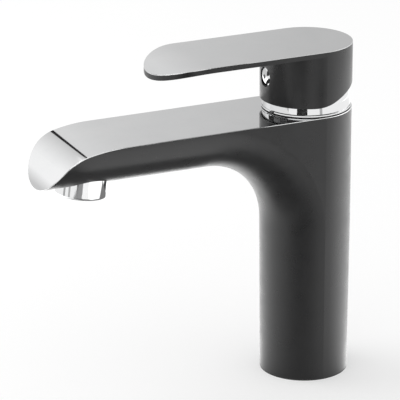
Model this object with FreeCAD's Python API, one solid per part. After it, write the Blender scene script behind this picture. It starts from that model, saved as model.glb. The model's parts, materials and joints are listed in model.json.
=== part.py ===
import FreeCAD, Part
import math
import os

Vector = FreeCAD.Vector
UP = Vector(0, 0, 1)
ACROSS = Vector(1, 0, 0)
FORWARD = Vector(0, -1, 0)
MARGIN = 5.0  # how far a cutting tool runs past what it cuts

# Body: origin at the centre of the base, the spout points along -Y
body_radius = 23.9  # column at the top and half-round spout
column_taper = 0.7
column_base_radius = body_radius - column_taper
underside_bend = 37.5
underside_rise = 0.3  # degrees that the underside climbs towards the nose
cover_thickness = 0.4
cover_edge = 0.2
base_wall = 4.7
base_hollow_radius = column_base_radius - base_wall
base_hollow_height = 98.0

# Inlets and fixing in the roof of the base hollow, and the cartridge seat above them
inlet_radius = 4.5
inlet_depth = 12.0
inlet_spread = 8.5
inlet_forward = 3.0
port_radius = 3.5
port_length = 6.0
stud_radius = 3.4
stud_depth = 14.0
stud_back = 11.0
seat_depth = 29.5
inlet_top = base_hollow_height + inlet_depth
stud_top = base_hollow_height + stud_depth
seat_floor = inlet_top + port_length
body_top = seat_floor + seat_depth
casting_top = body_top - cover_thickness

# Bent tops: each arc's radius and its turn in degrees, along the way to the tip
nose_start = 112.5
nose_bend_radii = [86.9, 22.2, 59.4]
nose_bend_degrees = [12.7, 38.4, 22.0]
lever_bend_radii = [60.0]
lever_bend_degrees = [30.0]

# Base gasket
gasket_edge = 1.2
gasket_width = 2.2
gasket_outer = column_base_radius - gasket_edge
gasket_inner = gasket_outer - gasket_width
gasket_thickness = 2.0

# Aerator
aerator_ahead = 14.9
aerator_forward = nose_start + aerator_ahead
aerator_lean = 7.0  # degrees that the outlet faces forward
aerator_radius = 13.9
aerator_drop = 5.6  # how far the middle of the ring reaches below the spout
aerator_bottom = body_top - body_radius - aerator_drop
aerator_ring_height = 12.0
aerator_shoulder = aerator_bottom + aerator_ring_height
aerator_step = 1.25
aerator_neck_radius = aerator_radius - aerator_step
aerator_neck_height = 3.0
aerator_neck_top = aerator_shoulder + aerator_neck_height
aerator_wall = 2.4
aerator_bore = aerator_radius - aerator_wall
aerator_lip_width = 1.0
aerator_lip_radius = aerator_bore - aerator_lip_width
aerator_lip_height = 1.6
aerator_edge = 1.2
aerator_fit = 0.08
screen_thickness = 0.6
washer_thickness = 1.5
washer_width = 2.35
washer_inner = aerator_neck_radius - washer_width
washer_top = aerator_neck_top + washer_thickness
insert_hole_radius = 1.0
insert_ring_radii = [3.0, 6.0, 9.0]
insert_ring_counts = [6, 12, 18]
screen_hole_radius = 0.55
screen_ring_radii = [2.2, 4.4, 6.6, 8.8]
screen_ring_counts = [6, 12, 18, 24]

# Water way
water_bore = 5.0
water_drop = 14.0
water_height = body_top - water_drop
hollow_wall = 4.5
hollow_roof_wall = 7.0
hollow_roof = body_top - hollow_roof_wall
hollow_start = 28.0
hollow_end_wall = 4.5
hollow_end = nose_start - hollow_end_wall
outlet_chamber_edge = 3.0
outlet_chamber_radius = aerator_bore - outlet_chamber_edge
outlet_chamber_height = 7.0
outlet_chamber_top = washer_top + outlet_chamber_height
outlet_link_radius = 2.7
outlet_link_roof = 2.2
outlet_link_height = outlet_chamber_top - outlet_link_roof - outlet_link_radius

# Cartridge, stacked up from its seat
cartridge_radius = 17.5
seat_fit = 0.25
seat_radius = cartridge_radius + seat_fit
cartridge_wall = 2.3
cartridge_inner = cartridge_radius - cartridge_wall
cartridge_base_height = 5.0
cartridge_base_top = seat_floor + cartridge_base_height
seal_edge = 0.2
seal_width = 1.6
seal_inner = port_radius + seal_edge
seal_outer = seal_inner + seal_width
seal_height = 1.5
seal_top = seat_floor + seal_height
fixed_disc_fit = 0.2
fixed_disc_radius = cartridge_inner - fixed_disc_fit
fixed_disc_height = 4.0
fixed_disc_top = cartridge_base_top + fixed_disc_height
moving_disc_radius = 11.0
moving_disc_height = 3.5
moving_disc_top = fixed_disc_top + moving_disc_height
mix_hole_radius = 1.6
mix_hole_spread = 8.8
carrier_plate_height = 2.5
plate_top = moving_disc_top + carrier_plate_height
carrier_block_half_width = 7.0
carrier_block_half_length = 6.5
carrier_block_height = 10.0
carrier_block_top = plate_top + carrier_block_height

# Swivel, pin and stem
swivel_radius = 12.0
running_fit = 0.05
swivel_lift = 0.5
swivel_bottom = plate_top + swivel_lift
swivel_skirt = 1.5
swivel_flange_fit = 0.4
swivel_flange_radius = cartridge_inner - swivel_flange_fit
swivel_flange_bottom = swivel_bottom + swivel_skirt
swivel_flange_height = 2.7
swivel_flange_top = swivel_flange_bottom + swivel_flange_height
fork_head = 1.0
fork_roof = carrier_block_top + fork_head
fork_gap = 0.3
stem_slot_half_length = 6.5
leg_length = 13.0
leg_lean = 11.0  # degrees back from vertical when the water is off
leg_radius = 2.6
ball_radius = 3.0
ball_depth = 2.5
ball_gap = 0.7
ball_side_gap = 0.4
socket_radius = ball_radius + ball_side_gap
socket_floor = carrier_block_top - ball_depth - ball_radius - ball_gap
pivot_height = carrier_block_top - ball_depth + leg_length
swivel_head = 4.0
swivel_top = pivot_height + swivel_head
pin_radius = 2.0
pin_inset = 0.3
pin_half_length = swivel_radius - pin_inset
stem_half_width = 3.5
stem_barrel_radius = 4.5

# Cartridge housing
housing_wall_bottom = swivel_flange_top + fork_gap
housing_roof = 2.5
housing_shoulder = housing_wall_bottom + housing_roof
housing_neck_wall = 1.95
housing_neck_bore = swivel_radius + running_fit
housing_neck_radius = housing_neck_bore + housing_neck_wall
housing_neck_height = 8.5
housing_neck_top = housing_shoulder + housing_neck_height
housing_groove_drop = 2.8
housing_groove_bottom = housing_wall_bottom - housing_groove_drop
housing_groove_height = 1.8
housing_groove_depth = 1.1
housing_groove_radius = cartridge_radius - housing_groove_depth
window_rise = 1.5
window_bottom = fixed_disc_top + window_rise
window_height = 5.0
window_top = window_bottom + window_height

# Nut, cap and seal
nut_step = 1.25
nut_thread_radius = seat_radius + nut_step
nut_thread_relief = 1.0
nut_thread_start = housing_shoulder - nut_thread_relief
nut_thread_fit = 0.05
nut_head_height = 3.8
nut_top = casting_top + nut_head_height
nut_flat_to_flat = 34.0
nut_corner = nut_flat_to_flat / 2 / math.cos(math.radians(30))
nut_bore_fit = 0.3
nut_bore = housing_neck_radius + nut_bore_fit
hub_radius = 24.0
hub_edge = 1.0  # the hub is hollowed by a ball around the pivot, which leaves this at its rim
hub_bore = hub_radius - hub_edge
cap_nut_gap = 0.12
cap_inner_radius = nut_corner + cap_nut_gap
cover_hole_gap = 0.15
cover_hole_radius = cap_inner_radius + cover_hole_gap
cap_seal_height = 0.4
cap_seal_width = 2.8
cap_seal_outer = cover_hole_radius + cap_seal_width
cap_flange_height = 0.8
cap_bottom = body_top + cap_seal_height
flange_top = cap_bottom + cap_flange_height
cap_nut_head = 0.5
cap_inner_top = nut_top + cap_nut_head
cap_dome_gap = 0.5
cap_dome_radius = hub_bore - cap_dome_gap
cap_ring_taper = 0.5
cap_ring_radius = cap_dome_radius + cap_ring_taper
cap_groove_height = 0.4
cap_groove_depth = 0.5
cap_groove_radius = cap_ring_radius - cap_groove_depth
cap_groove_top = flange_top + cap_groove_height
cap_flange_step = 0.3
cap_flange_radius = cap_ring_radius + cap_flange_step
cap_flange_taper = 0.14
cap_flange_upper_radius = cap_flange_radius - cap_flange_taper
cap_dome_wall = 1.5
cap_dome_rise = 8.0
cap_top = pivot_height + cap_dome_rise
cap_hole_gap = 1.3
cap_hole_radius = swivel_radius + cap_hole_gap
cap_edge = 0.15

# Lever
hub_gap = 3.95  # of the cap that shows below the hub
hub_bottom = flange_top + hub_gap
hub_relief = 22.6  # degrees of the cut under the back of the hub
hub_relief_radius = 30.0
lever_height = 29.85
lever_top = hub_bottom + lever_height
lever_tip_centre = 65.5
lever_bend_lead = 1.0
lever_bend_start = lever_tip_centre - lever_bend_lead
lever_thickness = 2.8
lever_plate_thickness = 0.3
lever_plate_edge = 0.15
hub_roof_thickness = 7.1
hub_roof = lever_top - hub_roof_thickness
boss_radius = 6.5
boss_length = 13.4
boss_bottom = hub_roof - boss_length
stem_fit = 0.05
stem_end_gap = 0.2
stem_roof_gap = 0.9
stem_top = hub_roof - stem_roof_gap
screw_rise = 3.9
screw_height = boss_bottom + screw_rise
screw_radius = 2.5
screw_length = 5.0
screw_key_width = 2.5
screw_key_depth = 2.0
plug_radius = 5.3
plug_length = 2.0
plug_inner_face = hub_radius - plug_length
plug_crown = 1.2  # how far the middle of the plug stands out from its rim
plug_crown_radius = (plug_radius ** 2 + plug_crown ** 2) / (2 * plug_crown)
dot_radius = 1.2
dot_depth = 0.9


def cylinder(radius, bottom, top, x=0.0, y=0.0):
    """Upright cylinder between two heights."""
    return Part.makeCylinder(radius, top - bottom, Vector(x, y, bottom), UP)


def cone(lower_radius, upper_radius, bottom, top):
    """Upright cone on the axis between two heights."""
    return Part.makeCone(lower_radius, upper_radius, top - bottom, Vector(0, 0, bottom), UP)


def ring(outer, inner, bottom, top, x=0.0, y=0.0):
    """Upright ring between two heights."""
    return cylinder(outer, bottom, top, x, y).cut(cylinder(inner, bottom, top, x, y))


def forward_cylinder(radius, start, end, height):
    """Level cylinder along the spout, between two distances from the axis."""
    return Part.makeCylinder(radius, end - start, Vector(0, -start, height), FORWARD)


def cross_cylinder(radius, half_length, height):
    """Level cylinder across the spout, centred on the axis."""
    return Part.makeCylinder(radius, 2 * half_length, Vector(-half_length, 0, height), ACROSS)


def block(half_width, y_from, y_to, bottom, top):
    """Box that is centred across the spout."""
    corner = Vector(-half_width, y_from, bottom)
    return Part.makeBox(2 * half_width, y_to - y_from, top - bottom, corner)


def side_prism(edges, half_width):
    """Prism from a closed outline in the side view, centred across the spout."""
    face = Part.Face(Part.Wire(edges))
    face.translate(Vector(-half_width, 0, 0))
    return face.extrude(Vector(2 * half_width, 0, 0))


def line(start, end):
    """Straight edge of a side view between two (y, z) points."""
    return Part.makeLine(Vector(0, *start), Vector(0, *end))


def arc(start, middle, end):
    """Round edge of a side view through three (y, z) points."""
    return Part.Arc(Vector(0, *start), Vector(0, *middle), Vector(0, *end)).toShape()


def below_bent_top(height, start, radii, turns, inset, half_width, back, floor):
    """Everything below a level top that bends down over the tip.

    The bends are tangent arcs. The inset moves the whole top inwards, parallel to itself.
    """
    top = height - inset
    edges = [line((back, floor), (back, top)), line((back, top), (-start, top))]
    centre = (-start, height)
    angle = 0.0
    last_radius = 0.0
    end = (-start, top)
    for radius, turn in zip(radii, turns):
        step = radius - last_radius
        centre = (centre[0] + step * math.sin(angle), centre[1] - step * math.cos(angle))
        reach = radius - inset
        middle_angle = angle + math.radians(turn) / 2
        angle = angle + math.radians(turn)
        middle = (centre[0] - reach * math.sin(middle_angle), centre[1] + reach * math.cos(middle_angle))
        begin = end
        end = (centre[0] - reach * math.sin(angle), centre[1] + reach * math.cos(angle))
        edges.append(arc(begin, middle, end))
        last_radius = radius
    edges.append(line(end, (end[0], floor)))
    edges.append(line((end[0], floor), (back, floor)))
    return side_prism(edges, half_width)


def hexagon(flat_to_flat, start, direction, length):
    """Six-sided prism from a point along a direction."""
    corner = flat_to_flat / 2 / math.cos(math.radians(30))
    side = ACROSS if abs(direction.x) < 0.5 else UP
    other = direction.cross(side)
    corners = []
    for number in range(6):
        turn = math.radians(60 * number)
        corners.append(start + side * (corner * math.cos(turn)) + other * (corner * math.sin(turn)))
    outline = Part.makePolygon(corners + corners[:1])
    return Part.Face(outline).extrude(direction * length)


def drill(solid, radius, ring_radii, ring_counts, bottom, top, y):
    """Drills one centre hole and rings of holes through a disc."""
    solid = solid.cut(cylinder(radius, bottom, top, 0, y))
    for ring_radius, count in zip(ring_radii, ring_counts):
        for number in range(count):
            turn = 2 * math.pi * number / count
            x = ring_radius * math.cos(turn)
            solid = solid.cut(cylinder(radius, bottom, top, x, y + ring_radius * math.sin(turn)))
    return solid


def round_upper_edge(plate, radius, hole_radius):
    """Rounds the outer edge of a plate's upper faces and leaves the edge of its hole sharp."""
    edges = {}
    for face in plate.Faces:
        u_from, u_to, v_from, v_to = face.ParameterRange
        if face.normalAt((u_from + u_to) / 2, (v_from + v_to) / 2).z < 0.2:
            continue
        for edge in face.Edges:
            in_hole = edge.BoundBox.XMax < hole_radius + 0.1 and edge.BoundBox.YMin > -hole_radius - 0.1
            if edge.hashCode() in edges or in_hole:
                edges[edge.hashCode()] = None
            else:
                edges[edge.hashCode()] = edge
    return plate.makeFillet(radius, [edge for edge in edges.values() if edge])


def round_outer_rim(solid, radius, rim_radius, height):
    """Rounds the circle of one radius at one height."""
    rims = []
    for edge in solid.Edges:
        box = edge.BoundBox
        if abs(box.ZMin - height) + abs(box.ZMax - height) < 0.01 and abs(box.XMax - rim_radius) < 0.01:
            rims.append(edge)
    return solid.makeFillet(radius, rims)


def at_outlet(shape):
    """Leans an upright shape at the outlet forward, around the middle of its lower end."""
    return shape.rotated(Vector(0, -aerator_forward, aerator_bottom), ACROSS, -aerator_lean)


def save(name, *solids):
    """Writes one node, which may hold several equal solids."""
    shape = solids[0] if len(solids) == 1 else Part.makeCompound(list(solids))
    shape.exportStep("parts/" + name + ".step")


os.makedirs("parts", exist_ok=True)

# Outside of the body
bend_reach = body_radius + underside_bend
spout_reach = nose_start + sum(nose_bend_radii)
rise = math.radians(underside_rise)
bend_height = body_top - bend_reach * math.cos(rise)
bend_end = (bend_reach * (math.sin(rise) - 1), body_top)
half_turn = (math.pi / 2 - rise) / 2
bend_middle = (bend_reach * (math.cos(half_turn) - 1), bend_height + bend_reach * math.sin(half_turn))
column = cone(column_base_radius, body_radius, 0, bend_height)
column = column.fuse(cylinder(body_radius, bend_height, body_top))
spout_direction = Vector(0, -math.cos(rise), math.sin(rise))
spout = Part.makeCylinder(body_radius, spout_reach, Vector(0, *bend_end), spout_direction)
spout = spout.common(block(body_radius, bend_end[0] - spout_reach, bend_end[0] + MARGIN, 0, body_top))
bend_section = Part.Face(Part.Wire(Part.makeCircle(body_radius, Vector(0, 0, bend_height), UP)))
bend_half = block(body_radius + MARGIN, -bend_reach, 0, bend_height - MARGIN, bend_height + MARGIN)
bend_section = bend_section.common(bend_half).Faces[0]
underside = bend_section.revolve(Vector(0, -bend_reach, bend_height), ACROSS, 90 - underside_rise)
upper_side = side_prism(
    [
        line((0, bend_height), (0, body_top)),
        line((0, body_top), bend_end),
        arc(bend_end, bend_middle, (0, bend_height)),
    ],
    body_radius,
)
outside = column.fuse([spout, underside, upper_side]).removeSplitter()


def below_spout_top(inset):
    """Everything below the top of the spout, moved inwards by the inset."""
    back = body_radius + MARGIN
    radii, turns = nose_bend_radii, nose_bend_degrees
    return below_bent_top(body_top, nose_start, radii, turns, inset, back, back, -MARGIN)


casting = outside.common(below_spout_top(cover_thickness))
cover = outside.common(below_spout_top(0.0)).cut(below_spout_top(cover_thickness))
cover = cover.cut(cylinder(cover_hole_radius, body_top - 2 * cover_thickness, body_top + MARGIN))
save("spout_cover", round_upper_edge(cover.removeSplitter(), cover_edge, cover_hole_radius))

# Casting with its hollows
casting = casting.cut(cylinder(base_hollow_radius, -MARGIN, base_hollow_height))
casting = casting.cut(ring(gasket_outer, gasket_inner, 0, gasket_thickness))
for side in (-1, 1):
    inlet_x = side * inlet_spread
    casting = casting.cut(cylinder(inlet_radius, base_hollow_height, inlet_top, inlet_x, -inlet_forward))
    casting = casting.cut(cylinder(port_radius, inlet_top, seat_floor, inlet_x, -inlet_forward))
casting = casting.cut(cylinder(stud_radius, base_hollow_height, stud_top, 0, stud_back))
casting = casting.cut(cylinder(seat_radius, seat_floor, body_top))
casting = casting.cut(cylinder(nut_thread_radius, nut_thread_start, body_top))
casting = casting.cut(forward_cylinder(water_bore, 0, hollow_start, water_height))
hollow = forward_cylinder(body_radius - hollow_wall, hollow_start, hollow_end, body_top)
hollow = hollow.common(block(body_radius, -hollow_end, -hollow_start, 0, hollow_roof))
casting = casting.cut(hollow)
casting = casting.cut(forward_cylinder(outlet_link_radius, hollow_end, aerator_forward, outlet_link_height))
aerator_y = -aerator_forward
chamber = cylinder(outlet_chamber_radius, washer_top, outlet_chamber_top, 0, aerator_y)
neck_hole = cylinder(aerator_neck_radius + aerator_fit, aerator_shoulder, washer_top, 0, aerator_y)
ring_hole = cylinder(aerator_radius + aerator_fit, aerator_bottom - MARGIN, aerator_shoulder, 0, aerator_y)
casting = casting.cut([at_outlet(chamber), at_outlet(neck_hole), at_outlet(ring_hole)])
save("body_casting", casting.removeSplitter())

save("base_gasket", ring(gasket_outer, gasket_inner, 0, gasket_thickness))

# Aerator
tube = cylinder(aerator_radius, aerator_bottom, aerator_shoulder, 0, aerator_y)
tube = round_outer_rim(tube, aerator_edge, aerator_radius, aerator_bottom)
tube = tube.fuse(cylinder(aerator_neck_radius, aerator_shoulder, aerator_neck_top, 0, aerator_y))
insert_bottom = aerator_bottom + aerator_lip_height
tube = tube.cut(cylinder(aerator_bore, insert_bottom, aerator_neck_top, 0, aerator_y))
tube = tube.cut(cylinder(aerator_lip_radius, aerator_bottom, insert_bottom, 0, aerator_y))
save("aerator_housing", at_outlet(tube))

insert_top = aerator_neck_top - screen_thickness
insert_radius = aerator_bore - aerator_fit
insert = cylinder(insert_radius, insert_bottom, insert_top, 0, aerator_y)
insert = drill(
    insert, insert_hole_radius, insert_ring_radii, insert_ring_counts, insert_bottom, insert_top, aerator_y
)
save("aerator_insert", at_outlet(insert))

screen = cylinder(insert_radius, insert_top, aerator_neck_top, 0, aerator_y)
screen = drill(
    screen, screen_hole_radius, screen_ring_radii, screen_ring_counts, insert_top, aerator_neck_top, aerator_y
)
save("aerator_screen", at_outlet(screen))

washer = ring(aerator_neck_radius, washer_inner, aerator_neck_top, washer_top, 0, aerator_y)
save("aerator_washer", at_outlet(washer))

# Cartridge base, seals and fixed disc
cartridge_base = cylinder(cartridge_radius, seat_floor, cartridge_base_top)
fixed_disc = cylinder(fixed_disc_radius, cartridge_base_top, fixed_disc_top)
seals = []
for side in (-1, 1):
    inlet_x = side * inlet_spread
    seal = ring(seal_outer, seal_inner, seat_floor, seal_top, inlet_x, -inlet_forward)
    port = cylinder(port_radius, seat_floor, fixed_disc_top, inlet_x, -inlet_forward)
    cartridge_base = cartridge_base.cut([seal, port])
    fixed_disc = fixed_disc.cut(port)
    seals.append(seal)
save("cartridge_base", cartridge_base)
save("port_seals", *seals)
save("fixed_disc", fixed_disc)

# Moving disc and its carrier, drawn where they rest with the water off
rest_y = leg_length * math.sin(math.radians(leg_lean))
moving_disc = cylinder(moving_disc_radius, fixed_disc_top, moving_disc_top, 0, rest_y)
carrier = cylinder(moving_disc_radius, moving_disc_top, plate_top, 0, rest_y)
block_back = rest_y - carrier_block_half_length
block_front = rest_y + carrier_block_half_length
carrier = carrier.fuse(block(carrier_block_half_width, block_back, block_front, plate_top, carrier_block_top))
carrier = carrier.cut(cylinder(socket_radius, socket_floor, carrier_block_top, 0, rest_y))
for side in (-1, 1):
    mix_hole = cylinder(mix_hole_radius, fixed_disc_top, plate_top, side * mix_hole_spread, rest_y)
    moving_disc = moving_disc.cut(mix_hole)
    carrier = carrier.cut(mix_hole)
save("moving_disc", moving_disc)
save("disc_carrier", carrier.removeSplitter())

# Cartridge housing and its ring
housing = cylinder(cartridge_radius, cartridge_base_top, housing_shoulder)
housing = housing.fuse(cylinder(housing_neck_radius, housing_shoulder, housing_neck_top))
housing = housing.cut(cylinder(cartridge_inner, cartridge_base_top, housing_wall_bottom))
housing = housing.cut(cylinder(housing_neck_bore, housing_wall_bottom, housing_neck_top))
groove_top = housing_groove_bottom + housing_groove_height
groove = ring(seat_radius, housing_groove_radius, housing_groove_bottom, groove_top)
housing = housing.cut(groove)
housing = housing.cut(block(water_bore, -seat_radius, 0, window_bottom, window_top))
save("cartridge_housing", housing)
save("housing_seal", groove)

# Swivel carrier and pin
fork_half_width = carrier_block_half_width + fork_gap
slot_half_width = stem_half_width + fork_gap
swivel = cylinder(swivel_radius, swivel_bottom, swivel_top)
swivel = swivel.fuse(cylinder(swivel_flange_radius, swivel_flange_bottom, swivel_flange_top))
reach = swivel_flange_radius + MARGIN
swivel = swivel.cut(block(fork_half_width, -reach, reach, swivel_bottom, fork_roof))
stem_slot = block(slot_half_width, -stem_slot_half_length, stem_slot_half_length, fork_roof, swivel_top)
swivel = swivel.cut(stem_slot)
pin = cross_cylinder(pin_radius, pin_half_length, pivot_height)
swivel = swivel.cut(pin)
save("swivel_carrier", swivel)
save("pivot_pin", pin)

# Stem with its ball
ball_centre = Vector(0, rest_y, pivot_height - leg_length * math.cos(math.radians(leg_lean)))
pivot = Vector(0, 0, pivot_height)
stem = block(stem_half_width, -stem_half_width, stem_half_width, pivot_height, stem_top)
barrel = cross_cylinder(stem_barrel_radius, stem_half_width, pivot_height)
leg = Part.makeCylinder(leg_radius, leg_length, pivot, ball_centre - pivot)
ball = Part.makeSphere(ball_radius, ball_centre)
stem = stem.fuse([barrel, leg, ball]).removeSplitter()
stem = stem.cut(cross_cylinder(pin_radius + running_fit, stem_half_width + MARGIN, pivot_height))
save("spindle", stem)

# Nut that holds the cartridge
nut = cylinder(nut_thread_radius - nut_thread_fit, housing_shoulder, casting_top)
nut = nut.fuse(hexagon(nut_flat_to_flat, Vector(0, 0, casting_top), UP, nut_top - casting_top))
nut = nut.cut(cylinder(nut_bore, housing_shoulder, nut_top))
save("retaining_nut", nut)

# Seal and dome cap
save("cap_seal", ring(cap_seal_outer, cover_hole_radius, body_top, cap_bottom))

dome = Part.makeSphere(cap_dome_radius, pivot)
dome_inside = Part.makeSphere(cap_dome_radius - cap_dome_wall, pivot)
cap = dome.common(cylinder(hub_radius, pivot_height, cap_top))
cap = cap.fuse(cone(cap_ring_radius, cap_dome_radius, cap_groove_top, pivot_height))
cap = cap.fuse(cylinder(cap_groove_radius, flange_top, cap_groove_top))
cap = cap.fuse(cone(cap_flange_radius, cap_flange_upper_radius, cap_bottom, flange_top))
cap = cap.cut(cylinder(cap_inner_radius, cap_bottom, cap_inner_top))
cap = cap.cut(dome_inside.common(cylinder(hub_radius, cap_inner_top, cap_top - cap_dome_wall)))
cap = cap.cut(cylinder(cap_hole_radius, cap_inner_top, cap_top))
cap = cap.removeSplitter()
cap = round_outer_rim(cap, cap_edge, cap_flange_radius, cap_bottom)
cap = round_outer_rim(cap, cap_edge, cap_flange_upper_radius, flange_top)
save("dome_cap", cap)

# Lever: one outline seen from above, a bent top, and the hub below it
plan = cylinder(hub_radius, hub_bottom - MARGIN, lever_top)
plan = plan.fuse(cylinder(hub_radius, hub_bottom - MARGIN, lever_top, 0, -lever_tip_centre))
plan = plan.fuse(block(hub_radius, -lever_tip_centre, 0, hub_bottom - MARGIN, lever_top)).removeSplitter()


def below_lever_top(inset):
    """Everything below the top of the lever, moved inwards by the inset."""
    back = hub_radius + MARGIN
    radii, turns = lever_bend_radii, lever_bend_degrees
    floor = hub_bottom - MARGIN
    return below_bent_top(lever_top, lever_bend_start, radii, turns, inset, back, back, floor)


under_plate = below_lever_top(lever_plate_thickness)
plate = plan.common(below_lever_top(0.0)).cut(under_plate)
save("lever_plate", round_upper_edge(plate.removeSplitter(), lever_plate_edge, 0.0))

paddle = plan.common(under_plate).cut(below_lever_top(lever_thickness))
hub = cylinder(hub_radius, hub_bottom, lever_top - lever_thickness)
relief = math.radians(hub_relief)
relief_start = hub_relief_radius * math.tan(relief / 2)
relief_centre = (-relief_start, hub_bottom + hub_relief_radius)
relief_middle = (
    relief_centre[0] + hub_relief_radius * math.sin(relief / 2),
    relief_centre[1] - hub_relief_radius * math.cos(relief / 2),
)
relief_end = (
    relief_centre[0] + hub_relief_radius * math.sin(relief),
    relief_centre[1] - hub_relief_radius * math.cos(relief),
)
relief_back = hub_radius + MARGIN
relief_rise = (relief_back - relief_end[0]) * math.tan(relief)
relief_tool = side_prism(
    [
        arc((-relief_start, hub_bottom), relief_middle, relief_end),
        line(relief_end, (relief_back, relief_end[1] + relief_rise)),
        line((relief_back, relief_end[1] + relief_rise), (relief_back, hub_bottom)),
        line((relief_back, hub_bottom), (-relief_start, hub_bottom)),
    ],
    hub_radius + MARGIN,
)
hub = hub.cut(relief_tool)
hub = hub.cut(Part.makeSphere(hub_bore, pivot).common(cylinder(hub_radius, hub_bottom, hub_roof)))
hub = hub.fuse(cylinder(boss_radius, boss_bottom, hub_roof))
handle = hub.fuse(paddle).removeSplitter()
socket_half_width = stem_half_width + stem_fit
stem_socket = block(
    socket_half_width, -socket_half_width, socket_half_width, boss_bottom, stem_top + stem_end_gap
)
screw_end = stem_half_width + screw_length
screw = forward_cylinder(screw_radius, stem_half_width, screw_end, screw_height)
handle = handle.cut([stem_socket, forward_cylinder(screw_radius, 0, boss_radius + MARGIN, screw_height)])
plug_hole = forward_cylinder(plug_radius, boss_radius + MARGIN, hub_radius + MARGIN, screw_height)
handle = handle.cut(plug_hole)
save("lever_handle", handle)

key_start = Vector(0, -screw_end, screw_height)
key_hole = hexagon(screw_key_width, key_start, Vector(0, 1, 0), screw_key_depth)
save("grub_screw", screw.cut(key_hole))

# Plug over the screw, with the dot in its middle
crown = Part.makeSphere(plug_crown_radius, Vector(0, plug_crown_radius - hub_radius, screw_height))
plug = forward_cylinder(plug_radius, plug_inner_face, hub_radius, screw_height).common(crown)
dot = forward_cylinder(dot_radius, hub_radius - dot_depth, hub_radius, screw_height).common(crown)
save("index_plug", plug.cut(dot))
save("index_dot", dot)
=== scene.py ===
import json
import logging
import math
from dataclasses import dataclass
from enum import Enum

import bmesh
import bpy
from mathutils import Matrix, Vector


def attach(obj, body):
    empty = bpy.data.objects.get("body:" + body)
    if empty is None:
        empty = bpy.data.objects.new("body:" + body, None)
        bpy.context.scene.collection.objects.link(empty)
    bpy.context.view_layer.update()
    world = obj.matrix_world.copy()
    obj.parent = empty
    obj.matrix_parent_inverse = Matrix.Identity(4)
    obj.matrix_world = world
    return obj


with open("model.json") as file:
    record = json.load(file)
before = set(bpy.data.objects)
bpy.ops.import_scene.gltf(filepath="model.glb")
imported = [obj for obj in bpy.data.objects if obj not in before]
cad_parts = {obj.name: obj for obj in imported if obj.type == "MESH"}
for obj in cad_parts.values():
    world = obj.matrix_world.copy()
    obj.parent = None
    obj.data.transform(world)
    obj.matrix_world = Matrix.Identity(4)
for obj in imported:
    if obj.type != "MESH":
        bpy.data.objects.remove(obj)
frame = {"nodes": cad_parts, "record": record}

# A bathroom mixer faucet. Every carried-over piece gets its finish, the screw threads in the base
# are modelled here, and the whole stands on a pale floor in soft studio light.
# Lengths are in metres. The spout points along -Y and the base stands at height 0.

Colour = tuple[float, float, float]
Point = tuple[float, float, float]
Span = tuple[float, float]

LOG = logging.getLogger("faucet")
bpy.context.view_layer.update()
MM_PER_METRE = 1000.0
UP = Vector((0.0, 0.0, 1.0))

# Nearly all values of a noise texture lie between these two.
NOISE_ENDS: Span = (0.3, 0.7)
# Share of its strength that each finer layer of a noise texture keeps.
NOISE_FALLOFF = 0.55
# Length of one band of the wave texture at a scale of 1.
WAVE_LENGTH = 2.0 * math.pi / 20.0


class FinishName(Enum):
    """The finishes that pieces wear."""

    PAINT = "satin black paint"
    CHROME = "polished chrome"
    BRASS = "turned brass"
    STEEL = "turned steel"
    RUBBER = "moulded rubber"
    WHITE_PLASTIC = "white plastic"
    DARK_PLASTIC = "dark plastic"
    CERAMIC = "lapped ceramic"


class AxisName(Enum):
    """The axes that marks and tones follow."""

    ALONG = "Y"
    UPWARDS = "Z"


FinishSet = dict[FinishName, bpy.types.Material]
Outfit = tuple[tuple[str, FinishName], ...]


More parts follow.
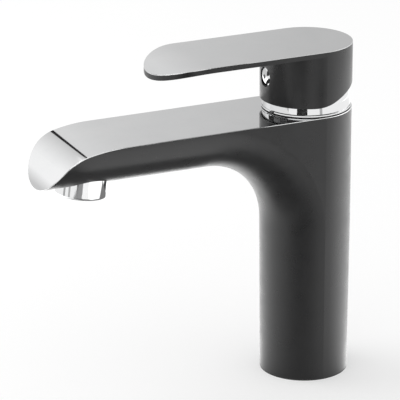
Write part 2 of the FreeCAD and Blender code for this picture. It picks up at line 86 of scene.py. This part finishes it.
class ShaderSheet:
    """One node material around a principled surface, read in object coordinates."""

    def __init__(self, name: str) -> None:
        """Starts a material with its surface and output.

        Args:
            name: Name of the material.
        """
        self.material = bpy.data.materials.new(name)
        self.material.use_nodes = True
        self.tree = self.material.node_tree
        self.tree.nodes.clear()
        output = self.add("ShaderNodeOutputMaterial")
        self.surface = self.add("ShaderNodeBsdfPrincipled")
        self.join(self.surface.outputs["BSDF"], output.inputs["Surface"])
        self.place = self.add("ShaderNodeTexCoord").outputs["Object"]

    def add(self, kind: str) -> bpy.types.Node:
        """Adds a node of a kind."""
        return self.tree.nodes.new(kind)

    def join(self, start: bpy.types.NodeSocket, end: bpy.types.NodeSocket) -> None:
        """Links two sockets."""
        self.tree.links.new(start, end)

    def set(self, socket: str, value: float) -> None:
        """Sets a number that is the same all over the surface."""
        self.surface.inputs[socket].default_value = value

    def noise(
        self, grain: float, detail: float = 2.0, stretch: Point = (1.0, 1.0, 1.0)
    ) -> bpy.types.NodeSocket:
        """Soft noise whose grain has a size in metres.

        Args:
            grain: Size of one grain in metres.
            detail: Number of finer layers.
            stretch: Factor for each axis, where a small one draws the grain out.

        Returns:
            Socket with a factor from 0 to 1.
        """
        mapping = self.add("ShaderNodeMapping")
        mapping.inputs["Scale"].default_value = stretch
        self.join(self.place, mapping.inputs["Vector"])
        node = self.add("ShaderNodeTexNoise")
        node.inputs["Scale"].default_value = 1.0 / grain
        node.inputs["Detail"].default_value = detail
        node.inputs["Roughness"].default_value = NOISE_FALLOFF
        self.join(mapping.outputs["Vector"], node.inputs["Vector"])
        return node.outputs["Fac"]

    def rings(self, pitch: float, axis: AxisName, wander: float) -> bpy.types.NodeSocket:
        """Turning marks around an axis.

        Args:
            pitch: Distance between marks in metres.
            axis: Axis that the marks go round.
            wander: How far the marks stray.

        Returns:
            Socket with a factor from 0 to 1.
        """
        node = self.add("ShaderNodeTexWave")
        node.wave_type = "BANDS"
        node.bands_direction = axis.value
        node.inputs["Scale"].default_value = WAVE_LENGTH / pitch
        node.inputs["Distortion"].default_value = wander
        node.inputs["Detail"].default_value = 2.0
        self.join(self.place, node.inputs["Vector"])
        return node.outputs["Fac"]

    def tint(self, factor: bpy.types.NodeSocket, dark: Colour, light: Colour) -> None:
        """Colours the surface between two tones.

        Args:
            factor: Socket with the noise.
            dark: Tone at the low end.
            light: Tone at the high end.
        """
        ramp = self.add("ShaderNodeValToRGB")
        for element, end, tone in zip(ramp.color_ramp.elements, NOISE_ENDS, (dark, light)):
            element.position = end
            element.color = (*tone, 1.0)
        self.join(factor, ramp.inputs["Fac"])
        self.join(ramp.outputs["Color"], self.surface.inputs["Base Color"])

    def gloss(self, factor: bpy.types.NodeSocket, smooth: float, rough: float) -> None:
        """Varies the roughness between two values.

        Args:
            factor: Socket with the noise.
            smooth: Roughness at the low end.
            rough: Roughness at the high end.
        """
        span = self.add("ShaderNodeMapRange")
        names = ("From Min", "From Max", "To Min", "To Max")
        for name, value in zip(names, (*NOISE_ENDS, smooth, rough)):
            span.inputs[name].default_value = value
        self.join(factor, span.inputs["Value"])
        self.join(span.outputs["Result"], self.surface.inputs["Roughness"])

    def relief(self, factor: bpy.types.NodeSocket, depth: float) -> None:
        """Raises the surface by a depth in metres.

        Args:
            factor: Socket with the height from 0 to 1.
            depth: Height of the relief in metres.
        """
        bump = self.add("ShaderNodeBump")
        bump.inputs["Strength"].default_value = 1.0
        bump.inputs["Distance"].default_value = depth
        self.join(factor, bump.inputs["Height"])
        self.join(bump.outputs["Normal"], self.surface.inputs["Normal"])


@dataclass(frozen=True)
class SatinPaint:
    """Black satin paint with a faint orange peel."""

    name: str = "satin_black_paint"
    dark: Colour = (0.0090, 0.0090, 0.0094)
    light: Colour = (0.0120, 0.0120, 0.0125)
    mottle: float = 0.012
    smooth: float = 0.27
    rough: float = 0.33
    haze: float = 0.006
    peel: float = 0.0035
    peel_depth: float = 0.000004
    ior: float = 1.5

    def make(self) -> bpy.types.Material:
        """Builds the paint.

        Returns:
            The material.
        """
        sheet = ShaderSheet(self.name)
        sheet.tint(sheet.noise(self.mottle, detail=3.0), self.dark, self.light)
        sheet.gloss(sheet.noise(self.haze, detail=1.0), self.smooth, self.rough)
        sheet.relief(sheet.noise(self.peel, detail=0.0), self.peel_depth)
        sheet.set("IOR", self.ior)
        return sheet.material


@dataclass(frozen=True)
class PolishedChrome:
    """Bright plating with a faint wiping haze and the soft waves of a buffed casting."""

    name: str = "polished_chrome"
    dark: Colour = (0.780, 0.785, 0.790)
    light: Colour = (0.810, 0.812, 0.815)
    mottle: float = 0.020
    smooth: float = 0.025
    rough: float = 0.075
    haze: float = 0.010
    wiping: Point = (0.35, 1.0, 1.0)
    wave: float = 0.016
    wave_depth: float = 0.000004

    def make(self) -> bpy.types.Material:
        """Builds the plating.

        Returns:
            The material.
        """
        sheet = ShaderSheet(self.name)
        sheet.tint(sheet.noise(self.mottle, detail=3.0), self.dark, self.light)
        sheet.gloss(sheet.noise(self.haze, 4.0, self.wiping), self.smooth, self.rough)
        sheet.relief(sheet.noise(self.wave, detail=1.0), self.wave_depth)
        sheet.set("Metallic", 1.0)
        return sheet.material


@dataclass(frozen=True)
class TurnedMetal:
    """Bare metal with turning marks around its axis."""

    name: str
    dark: Colour
    light: Colour
    smooth: float
    rough: float
    pitch: float
    wander: float = 1.5
    mottle: float = 0.004
    mark_depth: float = 0.000008

    def make(self) -> bpy.types.Material:
        """Builds the metal.

        Returns:
            The material.
        """
        sheet = ShaderSheet(self.name)
        marks = sheet.rings(self.pitch, AxisName.UPWARDS, self.wander)
        sheet.tint(sheet.noise(self.mottle, detail=4.0), self.dark, self.light)
        sheet.gloss(marks, self.smooth, self.rough)
        sheet.relief(marks, self.mark_depth)
        sheet.set("Metallic", 1.0)
        return sheet.material


@dataclass(frozen=True)
class MouldedRubber:
    """Dull black rubber with a fine bloom."""

    name: str = "moulded_rubber"
    dark: Colour = (0.012, 0.012, 0.012)
    light: Colour = (0.024, 0.024, 0.023)
    mottle: float = 0.003
    smooth: float = 0.55
    rough: float = 0.72
    bloom: float = 0.002
    skin: float = 0.0004
    skin_depth: float = 0.000012

    def make(self) -> bpy.types.Material:
        """Builds the rubber.

        Returns:
            The material.
        """
        sheet = ShaderSheet(self.name)
        sheet.tint(sheet.noise(self.mottle, detail=5.0), self.dark, self.light)
        sheet.gloss(sheet.noise(self.bloom, detail=3.0), self.smooth, self.rough)
        sheet.relief(sheet.noise(self.skin), self.skin_depth)
        return sheet.material


@dataclass(frozen=True)
class MouldedPlastic:
    """Engineering plastic with flow marks and a spark-eroded skin."""

    name: str
    dark: Colour
    light: Colour
    mottle: float = 0.008
    flow: Point = (1.0, 1.0, 0.4)
    smooth: float = 0.34
    rough: float = 0.48
    haze: float = 0.003
    skin: float = 0.00035
    skin_depth: float = 0.000008

    def make(self) -> bpy.types.Material:
        """Builds the plastic.

        Returns:
            The material.
        """
        sheet = ShaderSheet(self.name)
        sheet.tint(sheet.noise(self.mottle, 3.0, self.flow), self.dark, self.light)
        sheet.gloss(sheet.noise(self.haze, detail=3.0), self.smooth, self.rough)
        sheet.relief(sheet.noise(self.skin), self.skin_depth)
        return sheet.material


@dataclass(frozen=True)
class LappedCeramic:
    """Dense pale ceramic, lapped flat."""

    name: str = "lapped_ceramic"
    dark: Colour = (0.66, 0.65, 0.62)
    light: Colour = (0.74, 0.73, 0.70)
    mottle: float = 0.0012
    smooth: float = 0.10
    rough: float = 0.20
    haze: float = 0.004
    skin: float = 0.0003
    skin_depth: float = 0.000003

    def make(self) -> bpy.types.Material:
        """Builds the ceramic.

        Returns:
            The material.
        """
        sheet = ShaderSheet(self.name)
        sheet.tint(sheet.noise(self.mottle, detail=4.0), self.dark, self.light)
        sheet.gloss(sheet.noise(self.haze, detail=3.0), self.smooth, self.rough)
        sheet.relief(sheet.noise(self.skin), self.skin_depth)
        return sheet.material


def mix_finishes() -> FinishSet:
    """Builds every finish once.

    Returns:
        The material of each finish.
    """
    brass = TurnedMetal(
        "turned_brass",
        dark=(0.60, 0.43, 0.17),
        light=(0.72, 0.53, 0.24),
        smooth=0.22,
        rough=0.36,
        pitch=0.00377,
    )
    steel = TurnedMetal(
        "turned_steel",
        dark=(0.52, 0.52, 0.53),
        light=(0.62, 0.62, 0.62),
        smooth=0.24,
        rough=0.38,
        pitch=0.00314,
    )
    white = MouldedPlastic("white_plastic", dark=(0.70, 0.70, 0.67), light=(0.78, 0.78, 0.75))
    dark = MouldedPlastic("dark_plastic", dark=(0.018, 0.018, 0.020), light=(0.030, 0.030, 0.032))
    return {
        FinishName.PAINT: SatinPaint().make(),
        FinishName.CHROME: PolishedChrome().make(),
        FinishName.BRASS: brass.make(),
        FinishName.STEEL: steel.make(),
        FinishName.RUBBER: MouldedRubber().make(),
        FinishName.WHITE_PLASTIC: white.make(),
        FinishName.DARK_PLASTIC: dark.make(),
        FinishName.CERAMIC: LappedCeramic().make(),
    }


def place_mesh(
    name: str, mesh: bmesh.types.BMesh, material: bpy.types.Material
) -> bpy.types.Object:
    """Turns a finished bmesh into an object of the scene.

    Args:
        name: Name of the object.
        mesh: Its shape, which is freed here.
        material: Its material.

    Returns:
        The new object.
    """
    data = bpy.data.meshes.new(name)
    mesh.to_mesh(data)
    mesh.free()
    data.materials.append(material)
    piece = bpy.data.objects.new(name, data)
    bpy.context.scene.collection.objects.link(piece)
    return piece


@dataclass
class SubAssembly:
    """A group of carried-over pieces with the finish that each one wears."""

    outfit: Outfit

    def dress(self, finishes: FinishSet) -> None:
        """Gives each piece its finish.

        Args:
            finishes: The material of each finish.
        """
        for node, finish in self.outfit:
            for slot in frame["nodes"][node].material_slots:
                slot.material = finishes[finish]
            LOG.info("dressed %s in %s", node, finish.value)


@dataclass(frozen=True)
class Hole:
    """A threaded hole that opens downwards."""

    mouth: Point
    radius: float
    depth: float

    @classmethod
    def of_mount(cls, name: str) -> "Hole":
        """Reads a hole from the frame.

        Args:
            name: Name of the hole's mount.

        Returns:
            The hole.
        """
        mount = next(row for row in frame["record"]["mounts"] if row["name"] == name)
        sizes = mount["dims"]
        return cls(
            mouth=tuple(mount["pos_m"]),
            radius=sizes["r_mm"] / MM_PER_METRE,
            depth=sizes["length_mm"] / MM_PER_METRE,
        )


@dataclass
class Body(SubAssembly):
    """Column and spout with the polished cover, and the threads in the roof of the base hollow."""

    outfit: Outfit = (
        ("body_casting", FinishName.PAINT),
        ("spout_cover", FinishName.CHROME),
        ("base_gasket", FinishName.RUBBER),
    )
    threads: tuple[tuple[str, str], ...] = (
        ("hot_inlet_thread", "hot_inlet"),
        ("cold_inlet_thread", "cold_inlet"),
        ("fixing_thread", "fixing_stud"),
    )
    thread_pitch: float = 0.001
    foot_share: float = 0.42
    thread_height: float = 0.0004
    bare_turns: float = 2.0
    turn_steps: int = 28
    sharp_angle: float = 35.0

    def thread(self, hole: Hole) -> bmesh.types.BMesh:
        """Ridge of a screw thread that stands inwards from the wall of a hole.

        Args:
            hole: The hole, which keeps a bare turn at each end.

        Returns:
            Mesh of the ridge.
        """
        x, y, mouth = hole.mouth
        start = mouth + self.thread_pitch
        half_foot = self.foot_share * self.thread_pitch
        outline = [
            (hole.radius, start - half_foot),
            (hole.radius - self.thread_height, start),
            (hole.radius, start + half_foot),
        ]
        mesh = bmesh.new()
        face = mesh.faces.new([mesh.verts.new((x + reach, y, z)) for reach, z in outline])
        turns = hole.depth / self.thread_pitch - self.bare_turns
        bmesh.ops.spin(
            mesh,
            geom=[face, *face.edges, *face.verts],
            cent=(x, y, 0.0),
            axis=UP,
            dvec=UP * (self.thread_pitch / self.turn_steps),
            angle=2.0 * math.pi * turns,
            steps=round(turns * self.turn_steps),
        )
        bmesh.ops.recalc_face_normals(mesh, faces=mesh.faces)
        return mesh

    def build(self, finishes: FinishSet) -> None:
        """Cuts the threads of the two inlets and of the fixing hole.

        Args:
            finishes: The material of each finish.
        """
        for name, mount in self.threads:
            mesh = self.thread(Hole.of_mount(mount))
            piece = place_mesh(name, mesh, finishes[FinishName.BRASS])
            for polygon in piece.data.polygons:
                polygon.use_smooth = True
            piece.data.set_sharp_from_angle(angle=math.radians(self.sharp_angle))
            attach(piece, "body")
            LOG.info("built %s with %d faces", name, len(piece.data.polygons))


@dataclass
class Aerator(SubAssembly):
    """Outlet under the nose."""

    outfit: Outfit = (
        ("aerator_housing", FinishName.CHROME),
        ("aerator_insert", FinishName.WHITE_PLASTIC),
        ("aerator_screen", FinishName.STEEL),
        ("aerator_washer", FinishName.RUBBER),
    )


@dataclass
class Cartridge(SubAssembly):
    """Mixing cartridge inside the body, with the nut that holds it."""

    outfit: Outfit = (
        ("cartridge_base", FinishName.WHITE_PLASTIC),
        ("cartridge_housing", FinishName.WHITE_PLASTIC),
        ("disc_carrier", FinishName.DARK_PLASTIC),
        ("swivel_carrier", FinishName.DARK_PLASTIC),
        ("fixed_disc", FinishName.CERAMIC),
        ("moving_disc", FinishName.CERAMIC),
        ("port_seals", FinishName.RUBBER),
        ("housing_seal", FinishName.RUBBER),
        ("pivot_pin", FinishName.STEEL),
        ("spindle", FinishName.STEEL),
        ("retaining_nut", FinishName.BRASS),
    )


@dataclass
class Cap(SubAssembly):
    """Polished ring and dome between the body and the lever."""

    outfit: Outfit = (
        ("dome_cap", FinishName.CHROME),
        ("cap_seal", FinishName.RUBBER),
    )


@dataclass
class Lever(SubAssembly):
    """Hub with its paddle, the polished plate on top and the index plug."""

    outfit: Outfit = (
        ("lever_handle", FinishName.PAINT),
        ("lever_plate", FinishName.CHROME),
        ("grub_screw", FinishName.STEEL),
        ("index_plug", FinishName.CHROME),
        ("index_dot", FinishName.DARK_PLASTIC),
    )


@dataclass(frozen=True)
class Viewpoint:
    """Camera at the photograph's viewing angle: angles in degrees, lens in millimetres."""

    azimuth: float = 65.007
    elevation: float = 19.614
    roll: float = -0.123
    distance: float = 1.54746
    target: Point = (0.0, -0.060613, 0.102229)
    lens: float = 270.07
    sensor: float = 36.0
    clip_start: float = 0.01

    def floor_point(self, angle: float, reach: float, height: float) -> Vector:
        """Point around the faucet's axis.

        Args:
            angle: Angle in degrees from the camera's direction, to the right.
            reach: Distance from the axis.
            height: Height above the floor.

        Returns:
            The point.
        """
        turn = math.radians(self.azimuth + angle)
        return Vector((math.sin(turn) * reach, -math.cos(turn) * reach, height))

    def build(self) -> None:
        """Places the camera."""
        turn = math.radians(self.azimuth)
        rise = math.radians(self.elevation)
        tilt = math.radians(self.roll)
        back = self.floor_point(0.0, math.cos(rise), math.sin(rise))
        right = Vector((math.cos(turn), math.sin(turn), 0.0))
        up = back.cross(right)
        across = right * math.cos(tilt) + up * math.sin(tilt)
        above = up * math.cos(tilt) - right * math.sin(tilt)
        data = bpy.data.cameras.new("photo_camera")
        data.sensor_width = self.sensor
        data.lens = self.lens
        data.clip_start = self.clip_start
        camera = bpy.data.objects.new("photo_camera", data)
        place = Matrix.Translation(Vector(self.target) + back * self.distance)
        camera.matrix_world = place @ Matrix((across, above, back)).transposed().to_4x4()
        bpy.context.scene.collection.objects.link(camera)
        bpy.context.scene.camera = camera


class Glow:
    """One glowing material for a card, where a tone of 1 is white."""

    def __init__(self, name: str, tone: float = 1.0) -> None:
        """Starts a material that has the same tone all over.

        Args:
            name: Name of the material.
            tone: Its brightness.
        """
        self.material = bpy.data.materials.new(name)
        self.material.use_nodes = True
        self.tree = self.material.node_tree
        self.tree.nodes.clear()
        output = self.tree.nodes.new("ShaderNodeOutputMaterial")
        self.light = self.tree.nodes.new("ShaderNodeEmission")
        self.light.inputs["Color"].default_value = (1.0, 1.0, 1.0, 1.0)
        self.light.inputs["Strength"].default_value = tone
        self.tree.links.new(self.light.outputs["Emission"], output.inputs["Surface"])

    def grade(self, axis: AxisName, ends: Span, tones: Span) -> None:
        """Changes the tone along an axis.

        Args:
            axis: The axis.
            ends: Places on the axis where the change begins and ends.
            tones: Brightness at these two places.
        """
        place = self.tree.nodes.new("ShaderNodeTexCoord")
        split = self.tree.nodes.new("ShaderNodeSeparateXYZ")
        span = self.tree.nodes.new("ShaderNodeMapRange")
        names = ("From Min", "From Max", "To Min", "To Max")
        for name, value in zip(names, (*ends, *tones)):
            span.inputs[name].default_value = value
        self.tree.links.new(place.outputs["Object"], split.inputs["Vector"])
        self.tree.links.new(split.outputs[axis.value], span.inputs["Value"])
        self.tree.links.new(span.outputs["Result"], self.light.inputs["Strength"])

    def grade_round(self, azimuth: float, tones: tuple[Span, ...]) -> None:
        """Changes the tone with the angle around the faucet's axis.

        Args:
            azimuth: Direction in degrees from which the angles are measured.
            tones: Angles in degrees, to the right, with the brightness at each.
        """
        place = self.tree.nodes.new("ShaderNodeTexCoord")
        turn = self.tree.nodes.new("ShaderNodeMapping")
        turn.inputs["Rotation"].default_value[2] = math.radians(90.0 - azimuth)
        sweep = self.tree.nodes.new("ShaderNodeTexGradient")
        sweep.gradient_type = "RADIAL"
        ramp = self.tree.nodes.new("ShaderNodeValToRGB")
        ramp.color_ramp.interpolation = "B_SPLINE"
        elements = ramp.color_ramp.elements
        while len(elements) < len(tones):
            elements.new(1.0)
        brightest = max(tone for _, tone in tones)
        for element, (angle, tone) in zip(elements, tones):
            share = tone / brightest
            element.position = 0.5 + angle / 360.0
            element.color = (share, share, share, 1.0)
        self.light.inputs["Strength"].default_value = brightest
        self.tree.links.new(place.outputs["Object"], turn.inputs["Vector"])
        self.tree.links.new(turn.outputs["Vector"], sweep.inputs["Vector"])
        self.tree.links.new(sweep.outputs["Fac"], ramp.inputs["Fac"])
        self.tree.links.new(ramp.outputs["Color"], self.light.inputs["Color"])


def flat_mesh(corners: list[Vector]) -> bmesh.types.BMesh:
    """One flat face.

    Args:
        corners: Its corners in order.

    Returns:
        Mesh of the face.
    """
    mesh = bmesh.new()
    mesh.faces.new([mesh.verts.new(corner) for corner in corners])
    return mesh


def add_stage(
    name: str, mesh: bmesh.types.BMesh, material: bpy.types.Material
) -> bpy.types.Object:
    """Adds a piece of the studio, which isn't part of the faucet.

    Args:
        name: Name of the piece.
        mesh: Its shape, which is freed here.
        material: Its material.

    Returns:
        The new object.
    """
    piece = place_mesh(name, mesh, material)
    LOG.info("staged %s", name)
    return piece


def add_card(name: str, mesh: bmesh.types.BMesh, material: bpy.types.Material) -> None:
    """Adds a card that shows in polished and painted surfaces and nowhere else.

    Args:
        name: Name of the card.
        mesh: Its shape, which is freed here.
        material: Its glowing material.
    """
    card = add_stage(name, mesh, material)
    card.visible_camera = False
    card.visible_diffuse = False
    card.visible_transmission = False
    card.visible_shadow = False


@dataclass(frozen=True)
class UprightCard:
    """Card that stands beside the spout, with a tone that may change along an axis."""

    name: str
    along: Span
    heights: Span
    tones: Span
    grade: Span = (0.0, 1.0)
    axis: AxisName = AxisName.ALONG

    def stand(self, x: float) -> None:
        """Stands the card.

        Args:
            x: Its place across the spout.
        """
        low, high = self.along
        foot, head = self.heights
        places = [(low, foot), (high, foot), (high, head), (low, head)]
        glow = Glow(self.name)
        glow.grade(self.axis, self.grade, self.tones)
        add_card(self.name, flat_mesh([Vector((x, y, z)) for y, z in places]), glow.material)


@dataclass(frozen=True)
class LevelCard:
    """Level card below the spout, with its corners across and along the spout."""

    name: str
    points: tuple[Span, ...]
    height: float
    tone: float

    def lay(self) -> None:
        """Lays the card."""
        corners = [Vector((x, y, self.height)) for x, y in self.points]
        add_card(self.name, flat_mesh(corners), Glow(self.name, self.tone).material)


@dataclass(frozen=True)
class Wedge:
    """Wedge on the floor, between two distances from the axis and two angles in degrees."""

    name: str
    reach: Span
    angles: Span
    tone: float

    def lay(self, view: Viewpoint, height: float) -> None:
        """Lays the wedge.

        Args:
            view: Camera from which its angles are measured.
            height: Its height above the floor.
        """
        near, far = self.reach
        left, right = self.angles
        places = [(left, near), (left, far), (right, far), (right, near)]
        corners = [view.floor_point(angle, reach, height) for angle, reach in places]
        add_card(self.name, flat_mesh(corners), Glow(self.name, self.tone).material)


@dataclass(frozen=True)
class Path:
    """Bent strip on the floor, through points across and along the spout."""

    name: str
    points: tuple[Span, ...]
    half_width: float
    tone: float

    def lay(self, height: float) -> None:
        """Lays the strip, one card for each straight stretch.

        Args:
            height: Its height above the floor.
        """
        glow = Glow(self.name, self.tone)
        points = [Vector((x, y, height)) for x, y in self.points]
        for number, (start, end) in enumerate(zip(points, points[1:]), start=1):
            side = (end - start).cross(UP).normalized() * self.half_width
            corners = [start - side, end - side, end + side, start + side]
            add_card(f"{self.name}_{number}", flat_mesh(corners), glow.material)


@dataclass(frozen=True)
class Wall:
    """Curved wall around the faucet's axis, between two angles in degrees and two heights."""

    name: str
    angles: Span
    heights: Span
    radius: float = 1.2
    tone: float = 0.03
    steps: int = 30

    def stand(self, view: Viewpoint) -> None:
        """Stands the wall.

        Args:
            view: Camera from which its angles are measured.
        """
        first, last = self.angles
        mesh = bmesh.new()
        ends = [view.floor_point(first, self.radius, height) for height in self.heights]
        edge = mesh.edges.new([mesh.verts.new(end) for end in ends])
        bmesh.ops.spin(
            mesh,
            geom=[edge, *edge.verts],
            cent=(0.0, 0.0, 0.0),
            axis=UP,
            dvec=(0.0, 0.0, 0.0),
            angle=math.radians(last - first),
            steps=self.steps,
        )
        add_card(self.name, mesh, Glow(self.name, self.tone).material)


@dataclass(frozen=True)
class Disc:
    """Round sheet on the floor around the faucet."""

    name: str
    radius: float
    height: float
    segments: int = 96

    def lay(self, glow: Glow) -> None:
        """Lays the sheet.

        Args:
            glow: Its glowing material.
        """
        mesh = bmesh.new()
        bmesh.ops.create_circle(mesh, cap_ends=True, radius=self.radius, segments=self.segments)
        bmesh.ops.translate(mesh, verts=mesh.verts, vec=UP * self.height)
        add_card(self.name, mesh, glow.material)


@dataclass
class Studio:
    """Pale floor, soft light, and the cards that polished and painted surfaces mirror."""

    view: Viewpoint = Viewpoint()
    floor_half: float = 3.0
    floor_tone: float = 0.60
    floor_lift: float = 0.40
    sky_light: float = 0.85
    key_power: float = 5.0
    key_size: float = 0.9
    key_place: Point = (-0.55, -0.75, 1.15)
    # Beside the spout: what the polished tops, the nose and the index plug mirror.
    card_x: float = -0.5
    cards: tuple[UprightCard, ...] = (
        UprightCard(
            "grey_card",
            along=(-0.053, 0.60),
            heights=(0.16, 0.62),
            tones=(0.80, 0.58),
            grade=(0.0, 0.26),
        ),
        UprightCard(
            "nose_card",
            along=(-0.60, -0.077),
            heights=(0.225, 0.43),
            tones=(1.10, 0.67),
            grade=(-0.38, -0.077),
        ),
        UprightCard(
            "tip_card",
            along=(-0.60, -0.077),
            heights=(0.0, 0.225),
            tones=(0.70, 1.10),
            grade=(0.165, 0.225),
            axis=AxisName.UPWARDS,
        ),
        UprightCard(
            "grey_wing", along=(-0.12, -0.053), heights=(0.43, 0.62), tones=(0.80, 0.80)
        ),
        UprightCard("plug_card", along=(-1.2, -0.61), heights=(0.0, 0.27), tones=(0.04, 0.04)),
        UprightCard(
            "dark_strip", along=(-0.077, -0.053), heights=(0.37, 0.43), tones=(0.02, 0.02)
        ),
    )
    # On the floor: what the upright sides of column, hub and cap mirror.
    white_sheet: Disc = Disc("white_sheet", radius=2.5, height=0.0004)
    white_tone: float = 1.05
    near_sheet: Disc = Disc("near_sheet", radius=0.525, height=0.0006)
    near_tones: tuple[Span, ...] = (
        (-180.0, 1.5),
        (-150.0, 1.9),
        (-115.0, 2.2),
        (-95.0, 1.85),
        (-75.0, 1.5),
        (-50.0, 0.95),
        (-30.0, 0.58),
        (-13.0, 0.4),
        (5.0, 0.45),
        (20.0, 0.65),
        (36.0, 0.95),
        (53.0, 1.25),
        (71.0, 1.9),
        (95.0, 2.6),
        (120.0, 2.4),
        (140.0, 1.7),
        (180.0, 1.5),
    )
    wedge_height: float = 0.0008
    wedges: tuple[Wedge, ...] = (
        Wedge("hub_wedge", reach=(0.31, 0.62), angles=(-38.0, 46.0), tone=0.01),
        Wedge("dark_wedge", reach=(0.62, 2.3), angles=(-24.0, 2.5), tone=0.02),
        Wedge("left_wedge", reach=(0.62, 2.3), angles=(-53.0, -46.0), tone=0.50),
        Wedge("far_left_wedge", reach=(0.62, 2.3), angles=(-73.0, -65.0), tone=0.45),
        Wedge("right_wedge", reach=(0.62, 2.3), angles=(34.0, 41.0), tone=0.50),
    )
    # Strips that the front of the outlet mirrors.
    path_height: float = 0.001
    paths: tuple[Path, ...] = (
        Path(
            "bright_path",
            points=((0.47, -0.27), (0.385, -0.056), (0.25, 0.08)),
            half_width=0.03,
            tone=1.15,
        ),
        Path(
            "dim_path",
            points=((0.50, -0.29), (0.42, -0.445), (0.33, -0.56)),
            half_width=0.06,
            tone=0.35,
        ),
    )
    # Above the floor: what the underside of the spout mirrors.
    level_cards: tuple[LevelCard, ...] = (
        LevelCard(
            "bounce_card",
            points=((0.03, -0.12), (0.13, -0.12), (0.13, 0.005), (0.03, -0.045)),
            height=0.10,
            tone=1.45,
        ),
        LevelCard(
            "spout_shade",
            points=((-0.018, -0.15), (0.05, -0.15), (0.05, -0.02), (-0.018, -0.045)),
            height=0.085,
            tone=0.24,
        ),
    )
    # Around the camera: what the rounded edges mirror.
    walls: tuple[Wall, ...] = (
        Wall("dark_wall", angles=(-138.0, 95.0), heights=(0.50, 1.0)),
        Wall("upper_wall", angles=(42.0, 95.0), heights=(1.0, 3.4)),
    )

    def build_floor(self) -> None:
        """Lays the pale floor, which keeps the faucet's shadow."""
        material = bpy.data.materials.new("pale_floor")
        material.use_nodes = True
        tree = material.node_tree
        tree.nodes.clear()
        output = tree.nodes.new("ShaderNodeOutputMaterial")
        matt = tree.nodes.new("ShaderNodeBsdfDiffuse")
        matt.inputs["Color"].default_value = (
            self.floor_tone,
            self.floor_tone,
            self.floor_tone,
            1.0,
        )
        lift = tree.nodes.new("ShaderNodeEmission")
        lift.inputs["Strength"].default_value = self.floor_lift
        both = tree.nodes.new("ShaderNodeAddShader")
        tree.links.new(matt.outputs["BSDF"], both.inputs[0])
        tree.links.new(lift.outputs["Emission"], both.inputs[1])
        tree.links.new(both.outputs["Shader"], output.inputs["Surface"])
        half = self.floor_half
        places = [(-half, -half), (half, -half), (half, half), (-half, half)]
        add_stage("floor", flat_mesh([Vector((x, y, 0.0)) for x, y in places]), material)

    def build_cards(self) -> None:
        """Stands the cards beside the spout, which the tops, the nose and the plug mirror."""
        for card in self.cards:
            card.stand(self.card_x)

    def build_sheets(self) -> None:
        """Lays what the sides mirror: a white sheet, graded near the faucet, with its patches."""
        near = Glow(self.near_sheet.name)
        near.grade_round(self.view.azimuth, self.near_tones)
        self.white_sheet.lay(Glow(self.white_sheet.name, self.white_tone))
        self.near_sheet.lay(near)
        for wedge in self.wedges:
            wedge.lay(self.view, self.wedge_height)
        for path in self.paths:
            path.lay(self.path_height)
        for card in self.level_cards:
            card.lay()

    def build_walls(self) -> None:
        """Stands the dark walls around the camera, which rounded edges mirror."""
        for wall in self.walls:
            wall.stand(self.view)

    def build_sky(self) -> None:
        """Sets the even sky, which is white to the camera and to mirrors."""
        world = bpy.data.worlds.new("studio")
        bpy.context.scene.world = world
        world.use_nodes = True
        tree = world.node_tree
        tree.nodes.clear()
        output = tree.nodes.new("ShaderNodeOutputWorld")
        path = tree.nodes.new("ShaderNodeLightPath")
        shown = tree.nodes.new("ShaderNodeMath")
        shown.operation = "MAXIMUM"
        choice = tree.nodes.new("ShaderNodeMixShader")
        tree.links.new(path.outputs["Is Camera Ray"], shown.inputs[0])
        tree.links.new(path.outputs["Is Glossy Ray"], shown.inputs[1])
        tree.links.new(shown.outputs["Value"], choice.inputs["Fac"])
        for number, strength in enumerate((self.sky_light, 1.0), start=1):
            sky = tree.nodes.new("ShaderNodeBackground")
            sky.inputs["Color"].default_value = (1.0, 1.0, 1.0, 1.0)
            sky.inputs["Strength"].default_value = strength
            tree.links.new(sky.outputs["Background"], choice.inputs[number])
        tree.links.new(choice.outputs["Shader"], output.inputs["Surface"])

    def build_lamp(self) -> None:
        """Hangs one large soft lamp."""
        lamp = bpy.data.lights.new("soft_key", "AREA")
        lamp.shape = "SQUARE"
        lamp.size = self.key_size
        lamp.energy = self.key_power
        key = bpy.data.objects.new("soft_key", lamp)
        key.location = self.key_place
        aim = Vector(self.view.target) - Vector(self.key_place)
        key.rotation_euler = aim.to_track_quat("-Z", "Y").to_euler()
        bpy.context.scene.collection.objects.link(key)

    def build(self) -> None:
        """Sets up the whole studio."""
        self.view.build()
        self.build_floor()
        self.build_cards()
        self.build_sheets()
        self.build_walls()
        self.build_sky()
        self.build_lamp()
        bpy.context.scene.view_settings.view_transform = "Standard"
        LOG.info("studio is set")


def main() -> None:
    """Builds and dresses the faucet, then sets up the studio around it."""
    logging.basicConfig(level=logging.INFO, format="%(name)s: %(message)s")
    finishes = mix_finishes()
    body = Body()
    body.build(finishes)
    for group in (body, Aerator(), Cartridge(), Cap(), Lever()):
        group.dress(finishes)
    Studio().build()


if __name__ == "__main__":
    main()
